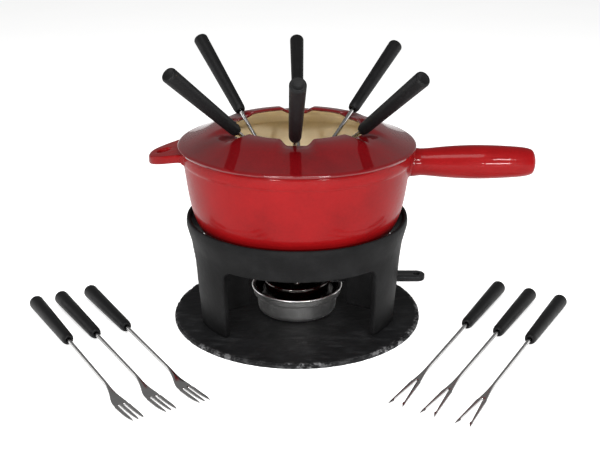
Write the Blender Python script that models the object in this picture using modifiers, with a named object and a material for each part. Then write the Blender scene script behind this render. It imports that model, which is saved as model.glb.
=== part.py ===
# Fondue pot set: enamelled cast-iron pot with splash guard on a three-legged cast-iron stand, with a
# burner, a round slate base and twelve forks.
# Metres, +Z up. Origin: centre of the slate's underside. +X is the pot handle's side, -Y the front.
import math
import random

import bmesh
import bpy
from mathutils import Matrix, Vector

GAP = 0.0003                   # clearance between pieces that touch

# slate base
SLATE_R = 0.1253
SLATE_T = 0.005
SLATE_SEGS = 64
SLATE_CHIP = 0.0022            # deepest chip along the upper edge

# stand: one casting, ring + three legs + three inner fins
STAND_TURN = 2.3               # degrees about +Z
STAND_BOTTOM = SLATE_T + GAP
STAND_TOP = 0.110
STAND_WALL = 0.0055
STAND_SEGS = 60
ARCH_TOP = 0.077
ARCH_HALF_BOTTOM = 46.0        # degrees, half opening at the foot
ARCH_HALF_TOP = 44.0
ARCH_CORNER = 0.011
FIN_TIP_R = 0.0555
FIN_T = 0.005
FIN_BOTTOM = 0.0208

# pot
POT_BASE = 0.0845
POT_FLOOR = 0.0890
POT_RIM = 0.1795
POT_SEGS = 56
FIN_TOP = POT_BASE - GAP
HANDLE_Z = 0.1610
HANDLE_WIDE = 1.06             # grip width over grip height
EAR_T = 0.008
EAR_TOP = 0.1770              # height of the ear where it meets the pot
EAR_HOLE_R = 0.0068

# splash guard
GUARD_SEGS = 72
GUARD_SEAT = POT_RIM + GAP
NOTCHES = 6
NOTCH_FLAT = 7.0               # degrees either side of the notch centre
NOTCH_END = 15.5
NOTCH_IN = 0.0052              # how far the lip steps back in a notch
NOTCH_DOWN = 0.0046            # how far the lip drops in a notch

# burner
BURNER_SEGS = 32
CUP_BASE = SLATE_T + GAP
GRIP_Z0, GRIP_Z1 = 0.0370, 0.0425
GRIP_X0, GRIP_X1 = 0.0340, 0.1300
GRIP_W = 0.0175
GRIP_HOLE_X, GRIP_HOLE_R = 0.1215, 0.0035
RIVET_X = (0.0420, 0.0540)

# forks: local frame has its origin where the shaft enters the handle, +Z towards the butt
FORK_HANDLE = 0.100
FORK_BUTT_R = 0.0074
FORK_NECK_R = 0.0057
SHAFT_R = 0.0019
TANG = 0.0150
STEEL_3 = 0.170                # three-tine fork, handle to tine tips
STEEL_2 = 0.172                # two-tine fork
HEAD_DIP = 0.0034              # three-tine head: dip of the palm below the shaft's axis
HEAD_RISE = 0.0030             # rise of its tine tips above the axis

# standing forks: notch azimuth, sideways offset in the notch, lean azimuth offset, tilt from upright,
# handle start above the notch, extra lift in the notch, roll about the shaft, number of tines
REST_R = 0.066
REST_Z = 0.196
STANDING = {
    "front":       (0.0,    -0.0020,   2.0, 48.6, 0.0072, 0.0002, 179.4, 2),
    "front_left":  (-60.0,   0.0056,  13.2, 49.5, 0.0026, 0.0012, 168.0, 3),
    "front_right": (60.0,    0.0048, -21.6, 51.1, 0.0026, 0.0000, 35.0, 3),
    "back_left":   (-120.0, -0.0056, -25.3, 51.6, 0.0043, 0.0000, 14.0, 2),
    "back_right":  (120.0,   0.0056,  25.6, 58.5, 0.0026, 0.0035, 47.0, 2),
    "back":        (180.0,  -0.0008,   0.7, 57.6, 0.0030, 0.0006, 34.0, 3),
}

# lying forks: middle of the butt end on the table (x, y), heading of the tines in degrees from -Y
# towards +X, number of tines
LYING = {
    "left_outer":   (-0.2706, 0.0066, 31.2, 3),
    "left_middle":  (-0.2474, 0.0191, 31.8, 3),
    "left_inner":   (-0.2199, 0.0346, 31.6, 3),
    "right_inner":  (0.2166, 0.0451, -29.2, 2),
    "right_middle": (0.2459, 0.0268, -30.2, 2),
    "right_outer":  (0.2740, 0.0101, -30.4, 2),
}

# ---------------------------------------------------------------- scene and helpers
for old in list(bpy.data.objects):
    bpy.data.objects.remove(old, do_unlink=True)

parts = bpy.data.collections.new("fondue_set")
cutters = bpy.data.collections.new("cutters")
bpy.context.scene.collection.children.link(parts)
bpy.context.scene.collection.children.link(cutters)


def material(name, colour, roughness, metallic=0.0, coat=0.0):
    m = bpy.data.materials.new(name)
    m.use_nodes = True
    b = m.node_tree.nodes["Principled BSDF"]
    b.inputs["Base Color"].default_value = (*colour, 1.0)
    b.inputs["Roughness"].default_value = roughness
    b.inputs["Metallic"].default_value = metallic
    b.inputs["Coat Weight"].default_value = coat
    m.diffuse_color = (*colour, 1.0)
    return m


SLATE = material("slate", (0.030, 0.031, 0.033), 0.75)
IRON = material("black_cast_iron", (0.022, 0.022, 0.023), 0.60)
RED = material("red_enamel", (0.45, 0.012, 0.014), 0.12, 0.0, 0.8)
STEEL = material("polished_steel", (0.62, 0.61, 0.59), 0.16, 1.0)
GAUZE = material("steel_gauze", (0.35, 0.34, 0.33), 0.45, 1.0)
WOOL = material("burner_wool", (0.72, 0.70, 0.64), 0.95)
BLACK = material("black_plastic", (0.012, 0.012, 0.013), 0.45)


def place(name, mesh, mat, coll=parts):
    ob = bpy.data.objects.new(name, mesh)
    if not mesh.materials:
        mesh.materials.append(mat)
    coll.objects.link(ob)
    if coll is cutters:
        ob.hide_render = True
        ob.display_type = "WIRE"
    return ob


def lathe(name, profile, segs, mat, closed=False, coll=parts):
    """Turned shape about Z. The profile (radius, height) runs down the outer side."""
    me = bpy.data.meshes.new(name)
    n = len(profile)
    edges = [(i, i + 1) for i in range(n - 1)] + ([(n - 1, 0)] if closed else [])
    me.from_pydata([(r, 0.0, z) for r, z in profile], edges, [])
    ob = place(name, me, mat, coll)
    s = ob.modifiers.new("turn", "SCREW")
    s.axis = "Z"
    s.angle = math.tau
    s.steps = s.render_steps = segs
    s.use_merge_vertices = True
    s.merge_threshold = 0.00001
    s.use_smooth_shade = True
    return ob


def bake(ob):
    """Turn an object's modifiers or curve into a plain mesh object of the same name."""
    bpy.context.view_layer.update()
    dg = bpy.context.evaluated_depsgraph_get()
    me = bpy.data.meshes.new_from_object(ob.evaluated_get(dg))
    bm = bmesh.new()
    bm.from_mesh(me)
    bmesh.ops.remove_doubles(bm, verts=bm.verts, dist=0.000001)
    bm.to_mesh(me)
    bm.free()
    name, colls, mw = ob.name, list(ob.users_collection), ob.matrix_world.copy()
    bpy.data.objects.remove(ob, do_unlink=True)
    new = bpy.data.objects.new(name, me)
    colls[0].objects.link(new)
    new.matrix_world = mw
    if colls[0] is cutters:
        new.hide_render = True
        new.display_type = "WIRE"
    return new


def join(ob, other, op="UNION"):
    m = ob.modifiers.new(op.lower(), "BOOLEAN")
    m.operation = op
    m.solver = "EXACT"
    m.object = other
    return m


def plate(name, outline, half, mat, coll=parts):
    """Flat outline in local XY, `half` thick either side of Z = 0."""
    cu = bpy.data.curves.new(name, "CURVE")
    cu.dimensions = "2D"
    cu.fill_mode = "BOTH"
    cu.extrude = half
    sp = cu.splines.new("POLY")
    sp.points.add(len(outline) - 1)
    for p, (x, y) in zip(sp.points, outline):
        p.co = (x, y, 0.0, 1.0)
    sp.use_cyclic_u = True
    ob = bpy.data.objects.new(name, cu)
    coll.objects.link(ob)
    cu.materials.append(mat)
    return bake(ob)


def drill(name, x, y, z0, z1, r, segs=16):
    bm = bmesh.new()
    bmesh.ops.create_cone(bm, cap_ends=True, segments=segs, radius1=r, radius2=r, depth=z1 - z0)
    me = bpy.data.meshes.new(name)
    bm.to_mesh(me)
    bm.free()
    ob = place(name, me, STEEL, cutters)
    ob.location = (x, y, (z0 + z1) / 2)
    return ob


def around(azimuth, radius, z=0.0):
    a = math.radians(azimuth)
    return Vector((radius * math.sin(a), -radius * math.cos(a), z))


# ---------------------------------------------------------------- slate base
random.seed(11)
chips = [random.random() ** 3 for _ in range(SLATE_SEGS)]
slow = [0.5 + 0.5 * math.sin(5 * math.tau * i / SLATE_SEGS + 1.1) for i in range(SLATE_SEGS)]
bm = bmesh.new()
bmesh.ops.create_cone(bm, cap_ends=True, segments=SLATE_SEGS, radius1=SLATE_R, radius2=SLATE_R,
                      depth=SLATE_T)
side = [e for e in bm.edges if abs(e.verts[0].co.z - e.verts[1].co.z) > 0.001]
bmesh.ops.subdivide_edges(bm, edges=side, cuts=1)
for v in bm.verts:
    a = math.atan2(v.co.y, v.co.x)
    i = int(round(a / math.tau * SLATE_SEGS)) % SLATE_SEGS
    level = 0 if v.co.z < -0.001 else (2 if v.co.z > 0.001 else 1)
    inset = (0.0, 0.0002 + 0.0006 * chips[i], 0.0007 + SLATE_CHIP * (0.7 * chips[i] + 0.2 * slow[i]))[level]
    r = SLATE_R - inset
    v.co.x, v.co.y = r * math.cos(a), r * math.sin(a)
    v.co.z = (0.0, 0.0030, SLATE_T)[level]
me = bpy.data.meshes.new("slate_base")
bm.to_mesh(me)
bm.free()
place("slate_base", me, SLATE)

# ---------------------------------------------------------------- stand casting
outer = [(0.1072, STAND_TOP), (0.1090, STAND_TOP - 0.0008), (0.1098, STAND_TOP - 0.0045), (0.1096, 0.1012),
         (0.1060, 0.0885), (0.1045, 0.0820), (0.1032, 0.0600), (0.1011, 0.0300), (0.0998, STAND_BOTTOM)]
inner = [(r - STAND_WALL, z) for r, z in reversed(outer[3:])] + [(0.1044, STAND_TOP - 0.0030)]
stand = lathe("stand_casting", outer + inner, STAND_SEGS, IRON, closed=True)
stand.rotation_euler.z = math.radians(STAND_TURN)
for k in range(3):
    bm = bmesh.new()
    bmesh.ops.create_cube(bm, size=2.0)
    for v in bm.verts:
        side_sign, rad_sign, up = v.co.x, v.co.y, v.co.z
        half = ARCH_HALF_TOP if up > 0 else ARCH_HALF_BOTTOM
        v.co = around(side_sign * half, 0.085 if rad_sign > 0 else 0.170, ARCH_TOP if up > 0 else -0.010)
    bmesh.ops.recalc_face_normals(bm, faces=bm.faces)
    top = [e for e in bm.edges if all(v.co.z > 0 for v in e.verts)
           and abs(e.verts[0].co.length - e.verts[1].co.length) > 0.02]
    bmesh.ops.bevel(bm, geom=top, offset=ARCH_CORNER, offset_type="OFFSET", segments=4, profile=0.5,
                    affect="EDGES")
    me = bpy.data.meshes.new(f"arch_{k}")
    bm.to_mesh(me)
    bm.free()
    arch = place(f"arch_{k}", me, IRON, cutters)
    arch.rotation_euler.z = math.radians(STAND_TURN + 120.0 * k)
    join(stand, arch, "DIFFERENCE")
for k in range(3):
    fin = plate(f"fin_{k}", [(FIN_TIP_R, FIN_TOP), (FIN_TIP_R, FIN_BOTTOM + 0.006),
                             (FIN_TIP_R + 0.0015, FIN_BOTTOM + 0.0018), (FIN_TIP_R + 0.0055, FIN_BOTTOM),
                             (0.0985, FIN_BOTTOM), (0.0993, FIN_TOP)], FIN_T / 2, IRON, cutters)
    azimuth = STAND_TURN + 60.0 + 120.0 * k
    out = around(azimuth, 1.0)
    fin.matrix_world = Matrix((out, Vector((0, 0, 1)), out.cross(Vector((0, 0, 1))))).transposed().to_4x4()
    join(stand, fin)

# ---------------------------------------------------------------- pot
pot_inner = [(0.0, POT_FLOOR), (0.0770, POT_FLOOR), (0.0875, 0.0942), (0.0958, 0.1050),
             (0.1010, 0.1230), (0.1070, 0.1640), (0.1080, POT_RIM - 0.0012)]
pot_outer = [(0.1092, POT_RIM), (0.1112, POT_RIM), (0.1125, POT_RIM - 0.0016), (0.1124, 0.1700),
             (0.1112, 0.1668), (0.1104, 0.1640), (0.1094, 0.1560), (0.1058, 0.1290), (0.1025, 0.1140),
             (0.0962, 0.0990),
             (0.0882, 0.0892), (0.0785, POT_BASE), (0.0, POT_BASE)]
pot = lathe("pot_casting", pot_inner + pot_outer, POT_SEGS, RED)
grip_profile = [(0.0, 0.2325), (0.0055, 0.2318), (0.0112, 0.2295), (0.0140, 0.2235), (0.0153, 0.2100),
                (0.0164, 0.1880), (0.0165, 0.1680), (0.0154, 0.1470), (0.0136, 0.1290), (0.0131, 0.1210),
                (0.0136, 0.1165), (0.0142, 0.1125), (0.0142, 0.1095), (0.0, 0.1095)]
grip = lathe("grip", grip_profile, 18, RED, coll=cutters)
grip.matrix_world = (Matrix.Translation((0.0, 0.0, HANDLE_Z)) @ Matrix.Rotation(math.pi / 2, 4, "Y")
                     @ Matrix.Diagonal((1.0, HANDLE_WIDE, 1.0, 1.0)))
join(pot, grip)
ear_root = 0.1105               # root arc, inside the wall's thickness
ear_half = [tuple(around(-90.0 - a, ear_root)[:2]) for a in (0.0, 6.0, 12.0, 17.5)]
ear_half += [(-0.1120, 0.0320), (-0.1190, 0.0285), (-0.1300, 0.0233), (-0.1390, 0.0164),
            (-0.1432, 0.0095), (-0.1446, 0.0)]
ear_outline = ear_half + [(x, -y) for x, y in reversed(ear_half[1:-1])]
ear = plate("ear", ear_outline, EAR_T / 2, RED, cutters)
for v in ear.data.vertices:
    v.co.z += EAR_TOP - EAR_T / 2 - 0.24 * max(0.0, -0.1130 - v.co.x)
ear.data.update()
join(pot, ear)
join(pot, drill("ear_hole", -0.1295, 0.0, 0.150, 0.185, EAR_HOLE_R), "DIFFERENCE")

# ---------------------------------------------------------------- splash guard
guard_profile = [(0.0604, 0.1992), (0.0614, 0.2008), (0.0720, 0.2003), (0.0830, 0.1968), (0.0930, 0.1914),
                 (0.1010, 0.1877), (0.1080, 0.1849), (0.1138, 0.1829), (0.1155, 0.1814), (0.1150, GUARD_SEAT),
                 (0.1069, GUARD_SEAT), (0.1062, 0.1752), (0.1040, 0.1752), (0.1034, 0.1826),
                 (0.0930, 0.1875), (0.0825, 0.1932), (0.0730, 0.1967), (0.0616, 0.1975)]
guard = bake(lathe("splash_guard", guard_profile, GUARD_SEGS, RED, closed=True))
for v in guard.data.vertices:
    r = math.hypot(v.co.x, v.co.y)
    az = math.degrees(math.atan2(v.co.x, -v.co.y))
    off = abs((az + 30.0) % 60.0 - 30.0)
    t = min(1.0, max(0.0, (NOTCH_END - off) / (NOTCH_END - NOTCH_FLAT)))
    g = t * t * (3.0 - 2.0 * t)
    u = min(1.0, max(0.0, (0.0960 - r) / (0.0960 - 0.0640)))
    v.co.z -= NOTCH_DOWN * g * u * u * (3.0 - 2.0 * u)
    w = min(1.0, max(0.0, (0.0800 - r) / (0.0800 - 0.0615)))
    k = (r + NOTCH_IN * g * w) / r
    v.co.x *= k
    v.co.y *= k
guard.data.update()

# ---------------------------------------------------------------- burner
lathe("burner_cup", [(0.0, CUP_BASE + 0.0012), (0.0365, CUP_BASE + 0.0012), (0.0400, 0.0236),
                     (0.0430, 0.0246), (0.0438, 0.0308), (0.0447, 0.0322), (0.0455, 0.0322),
                     (0.0460, 0.0314), (0.0450, 0.0300), (0.0441, 0.0240), (0.0412, 0.0228),
                     (0.0392, 0.0085), (0.0372, CUP_BASE), (0.0, CUP_BASE)], BURNER_SEGS, STEEL)
lathe("burner_wool", [(0.0, 0.0172), (0.0378, 0.0172), (0.0360, 0.0069), (0.0, 0.0069)], BURNER_SEGS, WOOL)
lathe("burner_gauze", [(0.0, 0.0184), (0.0384, 0.0184), (0.0383, 0.0176), (0.0, 0.0176)], BURNER_SEGS, GAUZE)
lathe("burner_cover", [(0.0235, 0.0262), (0.0235, 0.0272), (0.0330, 0.0272), (0.0390, 0.0284),
                       (0.0420, 0.0308), (0.0427, 0.0312), (0.0427, 0.0250), (0.0417, 0.0250),
                       (0.0413, 0.0293), (0.0386, 0.0274), (0.0328, 0.0262)],
      BURNER_SEGS, STEEL, closed=True)
lathe("burner_cap", [(0.0, 0.0335), (0.0300, 0.0335), (0.0311, 0.0379), (0.0321, 0.0387),
                     (0.0331, 0.0380), (0.0325, 0.0276), (0.0314, 0.0276), (0.0310, 0.0325),
                     (0.0, 0.0325)],
      BURNER_SEGS, STEEL)
lathe("burner_cap_stud", [(0.0, 0.0361), (0.0020, 0.0357), (0.0034, 0.0346), (0.0036, 0.0338),
                          (0.0, 0.0338)], 12, STEEL)

r_end = GRIP_W / 2
outline = [(GRIP_X0, -r_end + 0.002), (GRIP_X0 + 0.004, -r_end)]
outline += [(GRIP_X1 - r_end + r_end * math.sin(math.radians(a)), -r_end * math.cos(math.radians(a)))
            for a in range(0, 181, 20)]
outline += [(GRIP_X0 + 0.004, r_end), (GRIP_X0, r_end - 0.002)]
grip_bar = plate("burner_handle", outline, (GRIP_Z1 - GRIP_Z0) / 2, BLACK)
grip_bar.location.z = (GRIP_Z0 + GRIP_Z1) / 2
join(grip_bar, drill("hang_hole", GRIP_HOLE_X, 0.0, 0.030, 0.050, GRIP_HOLE_R, 20), "DIFFERENCE")
strap = plate("burner_handle_bracket",
              [(0.0340, -0.0060), (0.0580, -0.0060), (0.0600, -0.0035), (0.0600, 0.0035),
               (0.0580, 0.0060), (0.0340, 0.0060)], 0.0006, STEEL)
strap.location.z = GRIP_Z0 - GAP - 0.0006
for n, x in enumerate(RIVET_X, 1):
    bore = drill(f"rivet_bore_{n}", x, 0.0, 0.030, 0.050, 0.0017, 12)
    join(grip_bar, bore, "DIFFERENCE")
    join(strap, bore, "DIFFERENCE")
    low, high = GRIP_Z0 - GAP - 0.0012 - GAP, GRIP_Z1 + GAP
    rivet = lathe(f"burner_handle_rivet_{n}",
                  [(0.0, high + 0.0012), (0.0018, high + 0.0009), (0.0028, high + 0.0002), (0.0028, high),
                   (0.0014, high), (0.0014, low), (0.0024, low), (0.0022, low - 0.0006),
                   (0.0, low - 0.0008)], 12, STEEL)
    rivet.location.x = x

# ---------------------------------------------------------------- forks
handle = bake(lathe("fork_handle_pattern",
                    [(0.0, FORK_HANDLE - 0.0010), (FORK_BUTT_R - 0.0011, FORK_HANDLE),
                     (FORK_BUTT_R, FORK_HANDLE - 0.0016),
                     (FORK_NECK_R + 0.0001, 0.0030), (FORK_NECK_R - 0.0010, 0.0),
                     (SHAFT_R + GAP + 0.0001, 0.0), (SHAFT_R + GAP + 0.0001, TANG + GAP),
                     (0.0, TANG + GAP)], 12, BLACK, coll=cutters))


def head_2(length):
    """Outline of the V-shaped two-tine head; x is half width, y runs towards the handle."""
    slot, tip = -length + 0.047, -length
    right = [(0.0017, slot + 0.026), (0.0034, slot + 0.003), (0.0041, slot - 0.005), (0.0068, tip + 0.0012),
             (0.0065, tip), (0.0041, tip + 0.0070), (0.0050, tip + 0.0086), (0.0012, slot - 0.0025),
             (0.0, slot)]
    return right + [(-x, y) for x, y in reversed(right[:-1])]


def head_3(length):
    """Outline of the three-tine head: neck, palm and three tines."""
    tip = -length
    right = [(0.0014, tip + 0.0740), (0.0022, tip + 0.0620), (0.0056, tip + 0.0480), (0.0066, tip + 0.0410),
             (0.0067, tip + 0.0220), (0.0066, tip + 0.0110), (0.0057, tip + 0.0040), (0.0049, tip),
             (0.0036, tip + 0.0045), (0.0034, tip + 0.0195), (0.0033, tip + 0.0340), (0.0024, tip + 0.0357),
             (0.0015, tip + 0.0342), (0.0013, tip + 0.0200), (0.0010, tip + 0.0042), (0.0, tip - 0.0002)]
    return right + [(-x, y) for x, y in reversed(right[:-1])]


def head_3_bend(y, length):
    """Height of the head's middle above the shaft's axis: the neck dips and the tines rise."""
    t = (y + length) / 0.048                     # 0 at the tips, 1 at the palm
    if t > 1.0:
        u = min(1.0, (0.074 - (y + length)) / 0.026)
        return -HEAD_DIP * max(0.0, u) ** 2 * (3.0 - 2.0 * max(0.0, u))
    return -HEAD_DIP + (HEAD_DIP + HEAD_RISE) * (1.0 - t) ** 1.5


def steel_pattern(tines):
    length = STEEL_2 if tines == 2 else STEEL_3
    shaft_end = -length + (0.052 if tines == 2 else 0.060)
    rod = lathe(f"fork_steel_{tines}_pattern",
                [(0.0, TANG), (SHAFT_R, TANG), (SHAFT_R, shaft_end + 0.022),
                 (0.0010, shaft_end), (0.0, shaft_end)], 8, STEEL, coll=cutters)
    head = plate(f"head_{tines}", head_2(length) if tines == 2 else head_3(length), 0.0009, STEEL, cutters)
    if tines == 3:
        for v in head.data.vertices:
            v.co.z -= head_3_bend(v.co.y, length)
        head.data.update()
    head.matrix_world = Matrix.Rotation(math.pi / 2, 4, "X")
    join(rod, head)
    return bake(rod)


steels = {2: steel_pattern(2), 3: steel_pattern(3)}


def fork(name, tines, matrix):
    for suffix, pattern in (("handle", handle), ("steel", steels[tines])):
        ob = bpy.data.objects.new(f"fork_{name}_{suffix}", pattern.data)
        parts.objects.link(ob)
        ob.matrix_world = matrix


for name, (az, offset, lean, tilt, start, lift, roll, tines) in STANDING.items():
    th = math.radians(tilt)
    sideways = Vector((math.cos(math.radians(az)), math.sin(math.radians(az)), 0.0))
    notch = around(az, REST_R, REST_Z + 0.0024 / math.sin(th) + lift) + sideways * offset
    axis = around(az + lean, math.sin(th), math.cos(th))
    level = axis.cross(Vector((0, 0, 1))).normalized()
    flat = (math.cos(math.radians(roll)) * level
            + math.sin(math.radians(roll)) * axis.cross(level)).normalized()
    frame = Matrix((flat, axis.cross(flat), axis)).transposed().to_4x4()
    frame.translation = notch + axis * start
    fork("standing_" + name, tines, frame)

for name, (x, y, heading, tines) in LYING.items():
    steel = STEEL_2 if tines == 2 else STEEL_3
    length = FORK_HANDLE + steel
    butt_z = FORK_BUTT_R + GAP
    tip_z = 0.0009 + GAP if tines == 2 else 0.0041
    slope = math.asin((butt_z - tip_z) / length)
    ahead = around(heading, math.cos(slope), -math.sin(slope))
    axis = -ahead
    flat = Vector((0, 0, 1)).cross(axis).normalized()
    frame = Matrix((flat, axis.cross(flat), axis)).transposed().to_4x4()
    frame.translation = Vector((x, y, butt_z + 0.0002)) + ahead * FORK_HANDLE
    fork("lying_" + name, tines, frame)

for ob in parts.objects:
    if ob.type == "MESH":
        ob.data.shade_smooth()
        ob.data.set_sharp_from_angle(angle=math.radians(35.0))
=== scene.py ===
# Fondue pot set: the looks of an enamelled cast-iron pot with its splash guard, stand, burner,
# slate base and twelve forks. Metres, +Z up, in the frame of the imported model.
import math

import bmesh
import bpy
from mathutils import Matrix, Vector, noise


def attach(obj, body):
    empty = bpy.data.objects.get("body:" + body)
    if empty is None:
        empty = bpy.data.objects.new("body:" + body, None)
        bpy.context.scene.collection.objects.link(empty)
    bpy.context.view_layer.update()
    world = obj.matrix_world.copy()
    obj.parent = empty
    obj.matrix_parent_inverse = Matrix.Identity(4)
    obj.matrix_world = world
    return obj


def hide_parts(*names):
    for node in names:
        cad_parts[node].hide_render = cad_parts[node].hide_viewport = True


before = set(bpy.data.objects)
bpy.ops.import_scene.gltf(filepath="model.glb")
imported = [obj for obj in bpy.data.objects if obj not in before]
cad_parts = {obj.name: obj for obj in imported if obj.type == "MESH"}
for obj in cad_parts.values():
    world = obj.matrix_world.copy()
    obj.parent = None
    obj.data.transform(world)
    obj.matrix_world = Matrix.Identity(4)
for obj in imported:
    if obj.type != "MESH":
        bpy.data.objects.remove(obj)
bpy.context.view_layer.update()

GAP = 0.0003                    # clearance between pieces that touch

# slate base
SLATE_R = 0.1253
SLATE_T = 0.0050
SLATE_STEPS = 540               # vertices in each ring
SLATE_RINGS, SLATE_PITCHES = 51, 54    # rings on the face, and pitches in the radius
SLATE_SINK = 0.0004             # mean level of the split face below the full thickness
# broken edge from the top down: height, set-back, noise row, share of the broken depth
SLATE_EDGE = ((SLATE_T - 0.0003, 0.0012, 0, 1.0), (0.0037, 0.0009, 0, 1.0),
              (0.0034, 0.0002, 1, 0.55), (0.0020, 0.0001, 1, 0.5),
              (0.0016, 0.0, 2, 0.35), (0.0, 0.0003, 2, 0.3))

# stand
STAND_TURN = 2.3                # degrees about +Z
STAND_BOTTOM = SLATE_T + GAP
STAND_TOP = 0.1100
STAND_WALL = 0.0055
ARCH_TOP = 0.0770
ARCH_HALF_BOTTOM, ARCH_HALF_TOP = 46.0, 44.0    # degrees either side of an arch's centre
ARCH_CORNER = 0.0110
# the block that is taken out for an arch: inner and outer radius, and its foot
CUTTER_IN, CUTTER_OUT, CUTTER_LOW = 0.085, 0.170, -0.010
FIN_TIP_R, FIN_T, FIN_BOTTOM = 0.0555, 0.0050, 0.0208
FIN_ZONE_R = 0.080              # inside this radius only the fins are left
FIN_LEVEL_DROP = 0.0002         # the fins' tops are level, this far below the pot's gap
STAND_VOXEL = 0.0010

# pot
POT_BASE, POT_FLOOR, POT_RIM = 0.0845, 0.0890, 0.1795
FIN_TOP = POT_BASE - GAP
HANDLE_Z = 0.1610
HANDLE_WIDE = 1.06
HANDLE_ROOT_R = 0.0142
EAR_T, EAR_TOP = 0.0080, 0.1770
EAR_HALF_WIDE = 0.0330
EAR_HOLE_X, EAR_HOLE_R = -0.1295, 0.0068
EAR_DROOP = 0.24                # fall per metre beyond EAR_BEND_X
EAR_BEND_X = -0.1130
# the wall swells into the handle and the ear outside SWELL_R and above SWELL_Z, by FILLET_MOST at
# most, and the swelling fades out over the last SWELL_FADE below the rim
FILLET, FILLET_MOST = 0.0045, 0.0024
SWELL_R, SWELL_Z, SWELL_FADE = 0.1085, 0.140, 0.0030

# splash guard
GUARD_SEAT = POT_RIM + GAP
NOTCH_FLAT, NOTCH_END = 7.0, 15.5   # degrees either side of a notch's centre
NOTCH_IN, NOTCH_DOWN = 0.0052, 0.0046
# a notch dips from the first radius to its full depth at the second, and cuts the mouth back
# from the third to its full cut at the fourth
DOWN_FROM, DOWN_FULL = 0.0960, 0.0640
IN_FROM, IN_FULL = 0.0800, 0.0615

# burner
CUP_BASE = SLATE_T + GAP
GRIP_Z0, GRIP_Z1 = 0.0370, 0.0425
GRIP_X0, GRIP_X1 = 0.0340, 0.1300
GRIP_W = 0.0175
GRIP_HOLE_X, GRIP_HOLE_R = 0.1215, 0.0035
STRIP_HALF = 0.0006
RIVET_X, RIVET_BORE = (0.0420, 0.0540), 0.0017

# forks: local frame has its origin where the shaft enters the handle, +Z towards the butt
FORK_HANDLE = 0.100
FORK_BUTT_R, FORK_NECK_R = 0.0074, 0.0057
SHAFT_R, TANG = 0.0019, 0.0150
STEEL_LONG = {2: 0.172, 3: 0.170}   # from the handle to the tips, by number of tines
HEAD_DIP, HEAD_RISE = 0.0034, 0.0030
DIP_FROM, DIP_RUN, DIP_AT = 0.074, 0.026, 0.048     # distances from the tips
SLOT_2 = 0.047                  # root of the two-tine head's slot, from the tips
CAGE_GROWTH = 1.45              # a tine's cage over the width left after its subdivision

REST_R, REST_Z = 0.066, 0.196    # radius and height at which a notch carries its shaft
SHAFT_LIFT = 0.0024             # the shaft's middle above that, square to the shaft
# standing forks, in degrees and metres: notch azimuth, sideways offset in the notch, lean azimuth
# offset, tilt from upright, handle start above the notch, extra lift in the notch, roll about the
# shaft, number of tines
STANDING = {
    "front":       (0.0,    -0.0020,   2.0, 48.6, 0.0072, 0.0002, 179.4, 2),
    "front_left":  (-60.0,   0.0056,  13.2, 49.5, 0.0026, 0.0012, 168.0, 3),
    "front_right": (60.0,    0.0048, -21.6, 51.1, 0.0026, 0.0000, 35.0, 3),
    "back_left":   (-120.0, -0.0056, -25.3, 51.6, 0.0043, 0.0000, 14.0, 2),
    "back_right":  (120.0,   0.0056,  25.6, 58.5, 0.0026, 0.0035, 47.0, 2),
    "back":        (180.0,  -0.0008,   0.7, 57.6, 0.0030, 0.0006, 34.0, 3),
}
# height of a lying fork's axis at its butt end and at its tips, and what it is lifted as a whole
BUTT_Z, TIP_Z = FORK_BUTT_R + GAP, {2: 0.0009 + GAP, 3: 0.0041}
LYING_LIFT = 0.0002
# lying forks: middle of the butt end on the table (x, y), heading of the tines in degrees from -Y
# towards +X, number of tines
LYING = {
    "left_outer":   (-0.2706, 0.0066, 31.2, 3),
    "left_middle":  (-0.2474, 0.0191, 31.8, 3),
    "left_inner":   (-0.2199, 0.0346, 31.6, 3),
    "right_inner":  (0.2166, 0.0451, -29.2, 2),
    "right_middle": (0.2459, 0.0268, -30.2, 2),
    "right_outer":  (0.2740, 0.0101, -30.4, 2),
}

# floor, lights and camera
FLOOR_SIZE, FLOOR_Z = 40.0, -0.0004
FLOOR_GLOW = 0.57
AMBIENT = 0.30
# softboxes: position, height aimed at on the upright axis, width, height, watts
SOFTBOXES = {
    "overhead":    ((0.0, -0.75, 1.55), 0.15, 1.0, 0.6, 19.0),
    "front_left":  ((-0.60, -1.05, 0.95), 0.12, 0.13, 0.13, 4.5),
    "front_right": ((0.60, -1.05, 0.95), 0.12, 0.13, 0.13, 4.5),
    "low_left":    ((-0.42, -1.15, 0.30), 0.04, 0.18, 0.13, 7.0),
    "low_right":   ((0.50, -1.15, 0.30), 0.04, 0.18, 0.13, 7.0),
    "left_wall":   ((-1.35, 0.10, 0.45), 0.14, 1.0, 0.7, 5.0),
    "right_wall":  ((1.35, 0.10, 0.45), 0.14, 1.0, 0.7, 5.0),
}
CAMERA_SPOT, CAMERA_DIP = (0.0, -0.957, 0.4486), 20.2765    # metres, degrees below level
CAMERA_SENSOR, CAMERA_LENS, CAMERA_SHIFT = 36.0, 61.16, 0.005


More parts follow.
